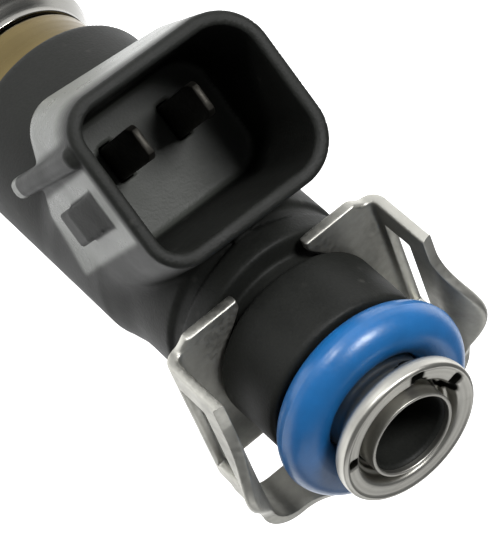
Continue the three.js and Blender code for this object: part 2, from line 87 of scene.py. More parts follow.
SEAL_OUTER, SEAL_BOTTOM, SEAL_TOP = ring_size("upper_o_ring")
SEAL_CORD_R = (SEAL_TOP - SEAL_BOTTOM) / 2
UPPER_SEAL_Z = (SEAL_TOP + SEAL_BOTTOM) / 2
LOWER_SEAL_Z = sum(node_range("lower_o_ring", 2)) / 2
LIP_R, TUBE_BOTTOM, INLET_Z = ring_size("inlet_tube")
CAN_R, CAN_BOTTOM, CAN_TOP = ring_size("solenoid_can")
MOULDING_BOTTOM, NECK_TOP = node_range("overmould", 2)
CLIP_BOTTOM = node_range("retainer_clip", 2)[0]
TUBE_R = 3.72      # the inlet tube and the nozzle's stem
SHELL_R = 4.1      # the bores of the can and the nozzle body round the coil's shell
COLLAR_BORE = 2.96
WING_Z = CLIP_BOTTOM + 0.45    # the middle of the clip's wings
CREASE = 0.16      # how near the rows that keep the clip's corners crisp lie to them
MOUTH = next(m for m in frame["record"]["mounts"] if m["name"] == "connector_rim")
MOUTH_Y = MOUTH["pos_m"][1] / MM
MOUTH_Z = MOUTH["pos_m"][2] / MM
LEAN_OUT = -MOUTH["axis"][1]
LEAN_UP = MOUTH["axis"][2]


# ---- settings ----


def length(name, description, default):
    """A size in mm."""
    return FloatProperty(name=name, description=description + ", mm", default=default)


def shade(name, value):
    """A colour in linear RGB."""
    return FloatVectorProperty(name=name, subtype="COLOR", size=3, min=0, max=1, default=value)


class MouldingSizes(bpy.types.PropertyGroup):
    """The black moulding: its turned body, its connector and what stands on it"""

    body_r: length("Body radius", "Lower part of the moulding", 7.85)
    shoulder_r: length("Shoulder radius", "Upper part of the moulding", 7.25)
    neck_r: length("Neck radius", "Above the clip groove", 6.4)
    groove_r: length("Groove radius", "Bottom of the clip groove", 5.5)
    groove_z: length("Groove height", "Lower face of the clip groove", 46.8)
    groove_width: length("Groove width", "Clip groove up and down", 1.5)
    taper_z: length("Taper height", "Where the lower part starts to narrow", 36.8)
    mouth_width: length("Mouth width", "Connector mouth across", 14.6)
    mouth_height: length("Mouth height", "Connector mouth up and down", 12.7)
    mouth_corner: length("Mouth corner", "Outer corner radius of the mouth", 3.1)
    wall: length("Shroud wall", "Wall of the connector at its mouth", 0.95)
    socket_depth: length("Socket depth", "Mouth to the socket's floor", 12.5)
    flare: length("Flare", "How far the nozzle side stands out at its fullest", 1.35)
    twist: length("Flare twist", "More than that at the latch side", 0.45)
    flare_depth: length("Flare depth", "Mouth to the flare's fullest place", 8.5)
    flare_return: FloatProperty(name="Flare return", description="Share lost per mm behind it", default=0.3)
    draft: FloatProperty(name="Draft", description="Narrowing on the inlet side per mm", default=0.024)
    fillet: length("Fillet", "Between the connector and the body", 1.3)
    lug_half: length("Latch lug", "Half the lug's width", 1.3)
    lug_depth: length("Lug depth", "Mouth to the lug's middle", 6.35)
    lug_reach: length("Lug reach", "Half the lug's length", 3.35)
    lug_height: length("Lug height", "Its height at the far end", 1.1)
    ridge_offset: length("Ridge offset", "Shroud's middle to the side ridge", 3.6)
    ridge_length: length("Ridge length", "Length of the side ridge", 18.6)
    step: FloatProperty(name="Cell", description="Grid cell of the skin, mm", default=0.23, min=0.15)


class TerminalSizes(bpy.types.PropertyGroup):
    """The two blades, in the connector's own axes"""

    pitch: length("Pitch", "Between the two blades", 4.9)
    width: length("Width", "Width of a blade", 2.6)
    thickness: length("Thickness", "Thickness of a blade", 0.8)
    tip_depth: length("Tip depth", "Mouth to a blade's tip", 3.5)
    end_depth: length("End depth", "Mouth to a blade's buried end", 15.2)
    offset: length("Offset", "From the mouth's middle towards the inlet", -1.95)


class ClipSizes(bpy.types.PropertyGroup):
    """The sheet-steel clip: a band round the back and sides, with a wing under each side"""

    sheet: length("Sheet", "Thickness of the steel", 0.8)
    half_width: length("Half width", "Axis to a side wall's outer face", 9.1)
    front_y: length("Front", "Front edge of the side walls", -5.8)
    prong_y: length("Prongs", "Front edge of the wings", -6.5)
    back_y: length("Back", "Outer face of the back wall", 9.6)
    corner: length("Corner", "Outer radius of the back corners", 2.6)
    bend: length("Bend", "Radius of the bend between a wing and its wall", 0.8)
    fork_r: length("Fork", "Radius of the arc that grips the groove", 5.8)
    wall_top: length("Wall top", "Height where the lobes start", 53.1)
    back_bottom: length("Back bottom", "Lower edge of the back wall", 49.5)
    window_front: length("Window front", "Front end of a window", -3.6)
    window_back: length("Window back", "Back end of a window", 5.4)
    window_low: length("Window bottom", "Lower edge of a window", 48.6)
    window_high: length("Window top", "Upper edge of a window", 51.1)
    lobe_flare: length("Lobe flare", "How far a lobe leans out", 1.5)
    lobe_rise: length("Lobe rise", "How far a lobe stands up", 2.1)
    turn: FloatProperty(name="Turn", description="In its play", subtype="ANGLE", default=math.radians(3))


class Colours(bpy.types.PropertyGroup):
    """The colour that each finish is built from"""

    nylon: shade("Black nylon", (0.0085, 0.009, 0.008))
    blue: shade("Blue rubber", (0.008, 0.105, 0.30))
    brown: shade("Brown rubber", (0.09, 0.035, 0.016))
    bright: shade("Bright steel", (0.50, 0.49, 0.45))
    turned: shade("Turned steel", (0.30, 0.295, 0.275))
    zinc: shade("Zinc plate", (0.43, 0.425, 0.39))
    chromate: shade("Yellow chromate", (0.13, 0.10, 0.045))
    # painted shade: far darker than bare tin plate, so that the blades read dark as in the socket's shade
    # and their tips show little reflection of the key light
    tin: shade("Tin plate", (0.06, 0.057, 0.05))
    copper: shade("Enamelled copper", (0.50, 0.17, 0.06))
    natural: shade("Natural nylon", (0.72, 0.64, 0.44))
    screen: shade("Filter mesh", (0.55, 0.50, 0.36))


# ---- meshes ----


def grid_faces(rows, columns, wrap_rows, wrap_columns):
    """Quads of a grid of rows x columns vertices, wound from column to column and then up a row."""
    i, j = np.meshgrid(
        np.arange(rows if wrap_rows else rows - 1),
        np.arange(columns if wrap_columns else columns - 1),
        indexing="ij",
    )
    up, across = (i + 1) % rows, (j + 1) % columns
    corners = [i * columns + j, i * columns + across, up * columns + across, up * columns + j]
    return np.stack(corners, -1).reshape(-1, 4)


def new_object(name, data):
    """An object in the scene."""
    made = bpy.data.objects.new(name, data)
    bpy.context.scene.collection.objects.link(made)
    return made


def new_piece(name, shape, slot, *replaced, values=None):
    """A piece of the injector from (points in mm, quads), with its slot's finish, in place of CAD nodes. A
    quad whose last two corners agree is a triangle; values are attributes with a number per point."""
    points, faces = shape
    triangle = faces[:, 2] == faces[:, 3]
    count = np.where(triangle, 3, 4)
    keep = np.ones(faces.shape, bool)
    keep[triangle, 3] = False
    mesh = bpy.data.meshes.new(name)
    mesh.vertices.add(len(points))
    mesh.vertices.foreach_set("co", (points.astype(np.float32) * MM).ravel())
    mesh.loops.add(int(count.sum()))
    mesh.loops.foreach_set("vertex_index", faces[keep].astype(np.int32))
    mesh.polygons.add(len(faces))
    mesh.polygons.foreach_set("loop_start", (np.cumsum(count) - count).astype(np.int32))
    mesh.update(calc_edges=True)
    mesh.validate()
    mesh.shade_smooth()
    for key, value in (values or {}).items():
        mesh.attributes.new(key, "FLOAT", "POINT").data.foreach_set("value", value.astype(np.float32))
    mesh.materials.append(finish(slot))
    piece = new_object(name, mesh)
    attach(piece, BODY)
    if replaced:
        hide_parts(*replaced)
    return piece


def weld(piece):
    """Drops vertices that no face uses, makes coincident ones one and points every face outwards."""
    work = bmesh.new()
    work.from_mesh(piece.data)
    bmesh.ops.delete(work, geom=[v for v in work.verts if not v.link_faces], context="VERTS")
    bmesh.ops.remove_doubles(work, verts=work.verts, dist=1e-7)
    bmesh.ops.recalc_face_normals(work, faces=work.faces)
    work.to_mesh(piece.data)
    work.free()
    piece.data.shade_smooth()


def rounded(outline, steps=5):
    """A closed outline from (a, b, radius) corners: each corner is cut back along both its sides and
    bridged by the quadratic curve with the corner as its control point."""
    corners = np.array([p[:2] for p in outline], float)
    radius = np.array([p[2] if len(p) > 2 else 0.0 for p in outline])
    before, after = np.roll(corners, 1, 0) - corners, np.roll(corners, -1, 0) - corners
    length_before = np.linalg.norm(before, axis=1)
    length_after = np.linalg.norm(after, axis=1)
    cut = np.minimum(radius, 0.45 * np.minimum(length_before, length_after))
    start = corners + before / length_before[:, None] * cut[:, None]
    end = corners + after / length_after[:, None] * cut[:, None]
    t = np.linspace(0, 1, steps)[None, :, None]
    curve = (1 - t) ** 2 * start[:, None] + 2 * t * (1 - t) * corners[:, None] + t**2 * end[:, None]
    sharp = cut == 0
    return np.concatenate([c[:1] if s else c for c, s in zip(curve, sharp)])


def finer(outline, spacing):
    """The same closed outline with points added along its longer sides."""
    runs = []
    for a, b in zip(outline, np.roll(outline, -1, 0)):
        count = max(1, math.ceil(np.linalg.norm(b - a) / spacing))
        runs.append(a + (b - a) * np.linspace(0, 1, count, endpoint=False)[:, None])
    return np.concatenate(runs)


def area(outline):
    """Signed area of a closed outline, positive when it runs anticlockwise."""
    x, y = outline[:, 0], outline[:, 1]
    return 0.5 * float(np.sum(x * np.roll(y, -1) - np.roll(x, -1) * y))


def revolve(outline, segments=144, shape=None):
    """A closed (radius, height) outline turned round Z: the point is (r cos a, r sin a, z).
    shape(angle, r, z) may return a changed (r, z). Gives points and outward quads."""
    if area(outline) < 0:
        outline = outline[::-1]
    angle = np.linspace(0, 2 * np.pi, segments, endpoint=False)
    angle, r = np.meshgrid(angle, outline[:, 0], indexing="ij")
    z = np.broadcast_to(outline[:, 1], r.shape)
    if shape:
        r, z = shape(angle, r, z)
    points = np.stack([r * np.cos(angle), r * np.sin(angle), z], -1).reshape(-1, 3)
    return points, grid_faces(segments, len(outline), True, True)[:, ::-1]


def dome(outline, segments=96):
    """An outline from the axis round to the axis, turned round Z, with one vertex at each pole."""
    ring, quads = revolve(outline[1:-1], segments)
    count = len(outline) - 2
    flipped = area(outline) < 0
    quads = quads.reshape(segments, count, 4)[:, :-1].reshape(-1, 4)
    first, last = (outline[-1], outline[0]) if flipped else (outline[0], outline[-1])
    poles = np.array([[0, 0, first[1]], [0, 0, last[1]]])
    low, high = np.full(segments, len(ring)), np.full(segments, len(ring) + 1)
    start = np.arange(segments) * count
    following = np.roll(start, -1)
    end, following_end = start + count - 1, following + count - 1
    fan_low = np.stack([low, following, start, start], -1)
    fan_high = np.stack([high, end, following_end, following_end], -1)
    return np.concatenate([ring, poles]), np.concatenate([quads, fan_low, fan_high])


def relaxed(points, faces, share=0.5):
    """Each vertex moved part of the way to the mean of its neighbours."""
    pairs = np.concatenate([faces[:, [0, 1]], faces[:, [1, 2]], faces[:, [2, 3]], faces[:, [3, 0]]])
    total = np.zeros_like(points)
    count = np.zeros(len(points))
    for a, b in ((0, 1), (1, 0)):
        for axis in range(3):
            total[:, axis] += np.bincount(pairs[:, a], points[pairs[:, b], axis], len(points))
        count += np.bincount(pairs[:, a], minlength=len(points))
    mean = total / np.maximum(count, 1)[:, None]
    return points + share * (mean - points)


def settled(points, field, step, rounds=3):
    """Newton's steps onto field = 0: each point moves by -f g / |g|^2, with g from central differences."""
    reach = 0.02
    for _ in range(rounds):
        value = field(*points.T)
        slope = np.empty_like(points)
        for axis in range(3):
            nudge = np.zeros(3)
            nudge[axis] = reach
            slope[:, axis] = (field(*(points + nudge).T) - field(*(points - nudge).T)) / (2 * reach)
        size = np.maximum((slope**2).sum(1), 0.2)
        move = -value[:, None] * slope / size[:, None]
        length = np.linalg.norm(move, axis=1, keepdims=True)
        points = points + move * np.minimum(1, 0.5 * step / np.maximum(length, 1e-9))
    return points


def skin(field, low, high, step):
    """The surface where field = 0. Each grid cell that it crosses gets one vertex, at the mean of the
    crossings on the cell's edges; each crossed grid edge gets the quad of its four cells. The vertices
    are then evened out and settled onto the surface."""
    axes = [np.arange(a, b + step, step) for a, b in zip(low, high)]
    value = field(*np.meshgrid(*axes, indexing="ij"))
    inside = value < 0
    size = np.array(value.shape) - 1
    total = np.zeros((int(np.prod(size)), 3))
    count = np.zeros(len(total))
    rings = []
    for axis in range(3):
        one, two = (axis + 1) % 3, (axis + 2) % 3
        lower = [slice(1, -1)] * 3
        lower[axis] = slice(0, -1)
        upper = list(lower)
        upper[axis] = slice(1, None)
        lower, upper = tuple(lower), tuple(upper)
        crossed = np.argwhere(inside[lower] != inside[upper])
        crossed[:, [one, two]] += 1
        ahead = crossed.copy()
        ahead[:, axis] += 1
        here, there = value[tuple(crossed.T)], value[tuple(ahead.T)]
        place = crossed.astype(float)
        place[:, axis] += here / (here - there)
        ring = []
        for a, b in ((-1, -1), (0, -1), (0, 0), (-1, 0)):
            cell = crossed.copy()
            cell[:, one] += a
            cell[:, two] += b
            index = np.ravel_multi_index(cell.T, size)
            for k in range(3):
                total[:, k] += np.bincount(index, place[:, k], len(total))
            count += np.bincount(index, minlength=len(total))
            ring.append(index)
        ring = np.stack(ring, -1)
        rings.append(np.where((here < 0)[:, None], ring, ring[:, ::-1]))
    used = np.flatnonzero(count)
    number = np.full(len(total), -1)
    number[used] = np.arange(len(used))
    points = total[used] / count[used, None] * step + np.array(low)
    faces = number[np.concatenate(rings)]
    for _ in range(2):
        points = settled(relaxed(points, faces), field, step)
    return points, faces


# ---- fields, in mm: negative inside, positive outside ----


def outline_field(outline, a, b):
    """Signed distance from (a, b) to a closed outline: the least distance to its sides, negative
    where a ray crosses the outline an odd number of times."""
    nearest = np.full(np.shape(a), np.inf)
    odd = np.zeros(np.shape(a), bool)
    for (a0, b0), (a1, b1) in zip(outline, np.roll(outline, -1, 0)):
        da, db = a1 - a0, b1 - b0
        share = np.clip(((a - a0) * da + (b - b0) * db) / (da * da + db * db), 0, 1)
        nearest = np.minimum(nearest, (a - a0 - share * da) ** 2 + (b - b0 - share * db) ** 2)
        if db != 0:
            odd ^= ((b0 > b) != (b1 > b)) & (a < a0 + (b - b0) * da / db)
    return np.where(odd, -1, 1) * np.sqrt(nearest)


def joined(a, b, fillet):
    """The union of two fields with a fillet: min(a, b) - h^2 k / 4, h = max(k - |a - b|, 0) / k."""
    h = np.maximum(fillet - np.abs(a - b), 0) / fillet
    return np.minimum(a, b) - h * h * fillet / 4


def common(a, b, rounding):
    """The overlap of two fields with its edge rounded."""
    return -joined(-a, -b, rounding)


def box_field(offsets, halves, rounding=0.0):
    """Distance to a box with rounded edges, from the offsets to its middle and its half sizes."""
    q = [np.abs(o) - h + rounding for o, h in zip(offsets, halves)]
    outside = np.sqrt(sum(np.maximum(v, 0) ** 2 for v in q))
    largest = q[0]
    for v in q[1:]:
        largest = np.maximum(largest, v)
    return outside + np.minimum(largest, 0) - rounding


def in_connector(x, y, z):
    """Across, towards the inlet and depth below the mouth, in the connector's own axes."""
    out, up = y - MOUTH_Y, z - MOUTH_Z
    return x, LEAN_UP * out + LEAN_OUT * up, LEAN_OUT * out - LEAN_UP * up


def from_connector(across, along, depth):
    """The point of the part that in_connector would give these for."""
    y = MOUTH_Y + LEAN_UP * along + LEAN_OUT * depth
    z = MOUTH_Z + LEAN_OUT * along - LEAN_UP * depth
    return np.stack(np.broadcast_arrays(across, y, z), -1)


# ---- finishes ----


class Nodes:
    """A short way to write a node tree. Each method adds a node and gives its output socket."""

    def __init__(self, tree):
        self.tree = tree

    def add(self, kind, inputs={}, **settings):
        node = self.tree.nodes.new(kind)
        for key, value in settings.items():
            setattr(node, key, value)
        return self.feed(node, inputs)

    def feed(self, node, inputs):
        """Gives a node's inputs their values, or the sockets that they come from."""
        for key, value in inputs.items():
            if isinstance(value, bpy.types.NodeSocket):
                self.tree.links.new(value, node.inputs[key])
            else:
                node.inputs[key].default_value = value
        return node

    def math(self, operation, a, b=0.0):
        return self.add("ShaderNodeMath", {0: a, 1: b}, operation=operation).outputs[0]

    def times(self, a, b):
        return self.math("MULTIPLY", a, b)

    def plus(self, a, b):
        return self.math("ADD", a, b)

    def noise(self, place, scale, detail=3.0, roughness=0.55, dimensions="3D"):
        where = "W" if dimensions == "1D" else "Vector"
        inputs = {where: place, "Scale": scale, "Detail": detail, "Roughness": roughness}
        return self.add("ShaderNodeTexNoise", inputs, noise_dimensions=dimensions).outputs["Fac"]

    def span(self, value, low, high, to_low=0.0, to_high=1.0):
        inputs = {"Value": value, "From Min": low, "From Max": high, "To Min": to_low, "To Max": to_high}
        return self.add("ShaderNodeMapRange", inputs, clamp=True).outputs["Result"]

    def mix(self, factor, a, b):
        return self.add("ShaderNodeMix", {0: factor, 6: a, 7: b}, data_type="RGBA").outputs[2]

    def place(self):
        return self.add("ShaderNodeTexCoord").outputs["Object"]

    def axes(self):
        """The place's x, y and z."""
        return self.add("ShaderNodeSeparateXYZ", {0: self.place()}).outputs

    def painted(self, name):
        """An attribute of the mesh."""
        return self.add("ShaderNodeAttribute", attribute_name=name).outputs["Fac"]

    def group(self, name, **values):
        """The outputs of one of the shared groups, which is made the first time that it is asked for."""
        tree = bpy.data.node_groups.get(name) or GROUP_MAKERS[name]()
        inputs = {key.replace("_", " "): value for key, value in values.items()}
        return self.add("ShaderNodeGroup", inputs, node_tree=tree).outputs


def new_group(name, inputs, outputs):
    """An empty shader node group with float sockets, its Nodes, what it is given and its result's node."""
    tree = bpy.data.node_groups.new(name, "ShaderNodeTree")
    for key, default in inputs.items():
        socket = tree.interface.new_socket(key, in_out="INPUT", socket_type="NodeSocketFloat")
        socket.default_value = default
    for key in outputs:
        tree.interface.new_socket(key, in_out="OUTPUT", socket_type="NodeSocketFloat")
    nodes = Nodes(tree)
    return tree, nodes, nodes.add("NodeGroupInput").outputs, nodes.add("NodeGroupOutput")


def mottle_group():
    """Cloudy variation at two sizes, and the fine height of a moulded or plated skin."""
    sizes = {"Cloud Scale": 300.0, "Grain Scale": 3000.0}
    tree, n, given, result = new_group("Mottle", sizes, ("Cloud", "Grain"))
    place = n.place()
    cloud = n.noise(place, given["Cloud Scale"], 4.0, 0.6)
    grain = n.noise(place, given["Grain Scale"], 2.0, 0.5)
    n.feed(result, {"Cloud": n.span(cloud, 0.3, 0.7), "Grain": n.span(grain, 0.25, 0.75)})
    return tree


def turning_group():
    """Fine rings left by a lathe: one-dimensional noise of radius plus height."""
    tree, n, given, result = new_group("Turning", {"Ring Scale": 6000.0}, ("Rings", "Bands"))
    x, y, z = n.axes()
    radius = n.math("SQRT", n.plus(n.times(x, x), n.times(y, y)))
    run = n.plus(radius, n.times(z, 0.83))
    rings = n.noise(run, given["Ring Scale"], 2.0, 0.6, "1D")
    bands = n.noise(run, n.times(given["Ring Scale"], 0.13), 1.0, 0.5, "1D")
    n.feed(result, {"Rings": n.span(rings, 0.25, 0.75), "Bands": n.span(bands, 0.3, 0.7)})
    return tree


def speck_group():
    """Sparse dust and handling marks: small soft dots, and thin scratches along one way."""
    tree, n, given, result = new_group("Specks", {"Amount": 0.5}, ("Dust", "Scratch"))
    place, amount = n.place(), given["Amount"]
    dots = n.add("ShaderNodeTexVoronoi", {"Vector": place, "Scale": 700.0})
    near = n.span(dots.outputs["Distance"], 0.05, 0.22, 1.0, 0.0)
    chosen = n.span(n.noise(place, 260.0, 2.0), 0.56, 0.68)
    stretch = {"Vector": place, "Rotation": (0.5, 0.35, 0.8), "Scale": (1.0, 14.0, 14.0)}
    lines = n.noise(n.add("ShaderNodeMapping", stretch).outputs[0], 160.0, 3.0, 0.7)
    scratch = n.times(n.span(lines, 0.62, 0.70), amount)
    n.feed(result, {"Dust": n.times(n.times(near, chosen), amount), "Scratch": scratch})
    return tree


GROUP_MAKERS = {"Mottle": mottle_group, "Turning": turning_group, "Specks": speck_group}


def new_material(name, metallic, **more):
    """A material with its Principled BSDF, and the Nodes to build on."""
    material = bpy.data.materials.new(name)
    material.use_nodes = True
    n = Nodes(material.node_tree)
    values = {"Metallic": metallic, "Coat Weight": 0.0, "Coat Roughness": 0.1, "Specular IOR Level": 0.5}
    values.update((key.replace("_", " "), value) for key, value in more.items())
    return material, n.feed(material.node_tree.nodes["Principled BSDF"], values), n


def surface(n, shader, colour, roughness, height, strength, distance):
    """Gives the shader its colour, its roughness and, from a height of 0 to 1, its bumps; the distance
    is in mm."""
    bumps = n.add("ShaderNodeBump", {"Strength": strength, "Distance": distance * MM, "Height": height})
    n.feed(shader, {"Base Color": colour, "Roughness": roughness, "Normal": bumps.outputs["Normal"]})


def tint(colour, factor):
    """A lighter or darker copy of a colour, with alpha."""
    return (*(min(1.0, c * factor) for c in colour), 1.0)


def nylon_finish(name, colour):
    """Glass-filled nylon: matt and slightly cloudy, smoother and with a painted highlight, a much paler
    colour, where the attribute "polished" is set, with a fine spark-eroded grain and pale dust."""
    material, shader, n = new_material(name, 0.0, Specular_IOR_Level=0.17)
    mottle = n.group("Mottle", Cloud_Scale=220.0, Grain_Scale=5200.0)
    specks = n.group("Specks", Amount=0.5)
    gloss_and_highlight = n.painted("polished")
    body = n.mix(mottle["Cloud"], tint(colour, 0.75), tint(colour, 1.45))
    fibre = n.mix(n.times(mottle["Grain"], 0.45), body, tint(colour, 2.1))
    dusty = n.mix(n.times(specks["Dust"], 0.2), fibre, (0.30, 0.29, 0.26, 1))
    # painted highlight: on the patches the colour is lifted towards 16 times the nylon's, standing in for a
    # reflection of the lights
    shown = n.mix(n.times(gloss_and_highlight, 0.8), dusty, tint(colour, 16))
    rough = n.math("SUBTRACT", n.span(mottle["Cloud"], 0, 1, 0.50, 0.62), n.times(gloss_and_highlight, 0.27))
    rough = n.plus(rough, n.times(specks["Scratch"], 0.12))
    surface(n, shader, shown, rough, n.plus(mottle["Grain"], n.times(mottle["Cloud"], 0.6)), 0.35, 0.03)
    return material


def rubber_finish(name, colour, gloss=0.34):
    """Moulded seal rubber: even colour with a slight bloom, a soft oily sheen and a faint grain."""
    material, shader, n = new_material(name, 0.0, Coat_Weight=0.15, Coat_Roughness=0.22)
    mottle = n.group("Mottle", Cloud_Scale=420.0, Grain_Scale=4200.0)
    specks = n.group("Specks", Amount=0.35)
    body = n.mix(mottle["Cloud"], tint(colour, 0.88), tint(colour, 1.14))
    shown = n.mix(n.times(specks["Dust"], 0.3), body, tint(colour, 2.2))
    rough = n.span(mottle["Grain"], 0, 1, gloss - 0.05, gloss + 0.08)
    surface(n, shader, shown, rough, mottle["Grain"], 0.2, 0.02)
    return material


def turned_finish(name, colour, rough, rings=5200.0, depth=0.012):
    """Turned or drawn metal: rings from the tool in roughness and height, faint handling marks, and painted
    shade, near black and rougher, where the attribute "soiled" is set."""
    material, shader, n = new_material(name, 1.0)
    turning = n.group("Turning", Ring_Scale=rings)
    mottle = n.group("Mottle", Cloud_Scale=380.0, Grain_Scale=3600.0)
    specks = n.group("Specks", Amount=0.6)
    crimp_shade = n.painted("soiled")
    body = n.mix(turning["Bands"], tint(colour, 0.80), tint(colour, 1.12))
    stained = n.mix(n.times(mottle["Cloud"], 0.3), body, tint(colour, 0.6))
    # painted shade: the crimp marks are darkened to near black, as the shade in their hollows
    crimp_shaded = n.mix(n.span(crimp_shade, 0.05, 0.3), stained, (0.006, 0.006, 0.005, 1))
    level = n.span(turning["Rings"], 0, 1, rough - 0.06, rough + 0.09)
    level = n.plus(n.plus(level, n.times(crimp_shade, 0.6)), n.times(specks["Scratch"], 0.15))
    surface(n, shader, crimp_shaded, level, turning["Rings"], 0.3, depth)
    return material


def plate_finish(name, colour):
    """Plated sheet: cloudy grey, rolled streaks, and bright where the attribute "rubbed" is set."""
    material, shader, n = new_material(name, 1.0)
    mottle = n.group("Mottle", Cloud_Scale=260.0, Grain_Scale=2600.0)
    specks = n.group("Specks", Amount=0.8)
    rub = n.times(n.painted("rubbed"), n.span(mottle["Cloud"], 0, 1, 0.45, 1.0))
    body = n.mix(mottle["Cloud"], tint(colour, 0.72), tint(colour, 1.18))
    worn = n.mix(rub, body, tint(colour, 1.2))
    shown = n.mix(n.times(specks["Dust"], 0.35), worn, tint(colour, 0.4))
    rough = n.math("SUBTRACT", n.span(mottle["Grain"], 0, 1, 0.50, 0.66), n.times(rub, 0.18))
    surface(n, shader, shown, rough, n.plus(mottle["Grain"], n.times(specks["Scratch"], -0.8)), 0.25, 0.02)
    return material


def woven_finish(name, colour):
    """Filter gauze: fine square weave in height and tone, from two crossed waves."""
    material, shader, n = new_material(name, 0.0)
    x, y, z = n.axes()
    around = n.math("ABSOLUTE", n.math("SINE", n.times(n.math("ARCTAN2", y, x), 40.0)))
    upward = n.math("ABSOLUTE", n.math("SINE", n.times(z, 16000.0)))
    weave = n.math("MAXIMUM", around, upward)
    shown = n.mix(weave, tint(colour, 0.35), tint(colour, 1.1))
    surface(n, shader, shown, n.span(weave, 0, 1, 0.7, 0.45), weave, 0.6, 0.05)
    return material


# Each slot's maker, its colour's property, and what else the maker takes.
FINISHES = {
    "black_nylon": (nylon_finish, "nylon"),
    "natural_nylon": (nylon_finish, "natural"),
    "blue_rubber": (rubber_finish, "blue"),
    "brown_rubber": (rubber_finish, "brown", 0.4),
    "bright_steel": (turned_finish, "bright", 0.40, 3800.0, 0.010),
    "turned_steel": (turned_finish, "turned", 0.2),
    "ball_steel": (turned_finish, "bright", 0.1, 9000.0, 0.003),
    "chromate_steel": (turned_finish, "chromate", 0.3, 2600.0),
    "copper_wire": (turned_finish, "copper", 0.3, 4200.0, 0.03),
    "clip_steel": (plate_finish, "zinc"),
    "tinned_brass": (plate_finish, "tin"),
    "screen_mesh": (woven_finish, "screen"),
}


def finish(slot):
    """The material of one of the record's slots, built the first time that it is asked for."""
    name = slot + "_finish"
    maker, colour, *rest = FINISHES[slot]
    value = getattr(bpy.context.scene.injector_colours, colour)
    return bpy.data.materials.get(name) or maker(name, value, *rest)


# ---- pieces ----


def moulding_outline(s):
    """The moulding's (radius, height, corner radius) outline without its connector."""
    can_bore, tube_bore = CAN_R + FREE, TUBE_R + FREE
    groove_top = s.groove_z + s.groove_width
    ring_z = s.groove_z - 2.5
    ring_r = s.shoulder_r - 0.35
    ledge = CAN_TOP + 0.3
    return rounded(
        [
            (can_bore, MOULDING_BOTTOM, 0.15),
            (s.body_r, MOULDING_BOTTOM, 0.45),
            (s.body_r, s.taper_z, 0.5),
            (s.body_r - 0.15, s.taper_z + 0.5, 0.3),
            (s.shoulder_r, s.taper_z + 2.6, 0.8),
            (s.shoulder_r, ring_z - 0.7, 0.12),
            (ring_r, ring_z - 0.5, 0.12),
            (ring_r, ring_z + 0.5, 0.12),
            (s.shoulder_r, ring_z + 0.7, 0.12),
            (s.shoulder_r, s.groove_z, 0.3),
            (s.groove_r, s.groove_z, 0.2),
            (s.groove_r, groove_top, 0.2),
            (s.neck_r, groove_top, 0.25),
            (s.neck_r, NECK_TOP, 0.4),
            (tube_bore, NECK_TOP, 0.15),
            (tube_bore, ledge, 0),
            (can_bore, ledge, 0),
        ],
        4,
    )


def corner_radius(s, across):
    """The shroud's outer corner radius, which is larger on the -X side."""
    return np.where(across < 0, s.mouth_corner + 0.5, s.mouth_corner - 0.4)


def shroud_field(s, x, y, z):
    """The leaning connector: a rounded box in its own axes, its nozzle side flared by a share that rises
    to 1 at the flare's depth and falls behind it, cut at the mouth, behind the axis and round the bores."""
    across, along, depth = in_connector(x, y, z)
    deep = np.maximum(depth, 0)
    rise = joined(deep / s.flare_depth, 1 - s.flare_return * (deep - s.flare_depth), 0.3)
    top = s.mouth_height / 2
    low = -top - rise * (s.flare + s.twist * across / (s.mouth_width / 2))
    halves = (s.mouth_width / 2, (top - low) / 2)
    shroud = box_field((across, along - (top + low) / 2), halves, corner_radius(s, across))
    shroud = common(shroud, -depth, 0.35)
    shroud = common(shroud, y + 0.2, 0.1)
    shroud = common(shroud, MOULDING_BOTTOM + 0.5 - z, 0.5)
    core = np.where(z < CAN_TOP + 0.3, CAN_R + FREE, TUBE_R + FREE) - np.hypot(x, y)
    return np.maximum(shroud, core)


def side_fields(s, across, along, depth):
    """The latch lug, a box under a slope, and the round-topped ridge beside it, both on the +X side."""
    face = s.mouth_width / 2
    lug_top = face + np.clip((depth - (s.lug_depth - s.lug_reach)) * 0.27, 0, s.lug_height)
    lug = box_field((along, depth - s.lug_depth), (s.lug_half, s.lug_reach), 0.25)
    lug = common(common(lug, across - lug_top, 0.25), face - 1 - across, 0.1)
    reach = s.ridge_length / 2
    offsets = (across - face + 0.1, from_ridge(s, along, depth), depth - reach - 0.5)
    return lug, box_field(offsets, (0.75, 0.78, reach), 0.62)


def from_ridge(s, along, depth):
    """How far a place lies from the ridge's middle line, which drifts 0.04 mm per mm of depth."""
    return along + s.ridge_offset + 0.04 * depth


def socket_field(s, blades, across, along, depth):
    """The connector's inside: a box that narrows on its inlet side, with a slot round each blade."""
    high = (s.mouth_height / 2 - s.wall) * (1 - s.draft * np.maximum(depth, 0))
    low = s.wall - s.mouth_height / 2
    halves = (s.mouth_width / 2 - s.wall, (high - low) / 2)
    socket = box_field((across, along - (high + low) / 2), halves, corner_radius(s, across) - s.wall)
    socket = common(socket, depth - s.socket_depth, 0.7)
    gap = 0.12
    slot_halves = (blades.thickness / 2 + gap, blades.width / 2 + gap, 2.35)
    for side in (-1, 1):
        offsets = (across - side * blades.pitch / 2, along - blades.offset, depth - s.socket_depth - 0.5)
        socket = np.minimum(socket, box_field(offsets, slot_halves, 0.1))
    return socket


def moulding_field(s, blades):
    """The whole moulding as one field: the turned body joined by fillets to the shroud, the lug and the
    ridge, less the socket."""
    outline = moulding_outline(s)

    def field(x, y, z):
        body = outline_field(outline, np.hypot(x, y), z)
        place = in_connector(x, y, z)
        lug, ridge = side_fields(s, *place)
        solid = joined(body, shroud_field(s, x, y, z), s.fillet)
        solid = joined(joined(solid, lug, 0.3), ridge, 0.25)
        return common(solid, -socket_field(s, blades, *place), 0.3)

    return field


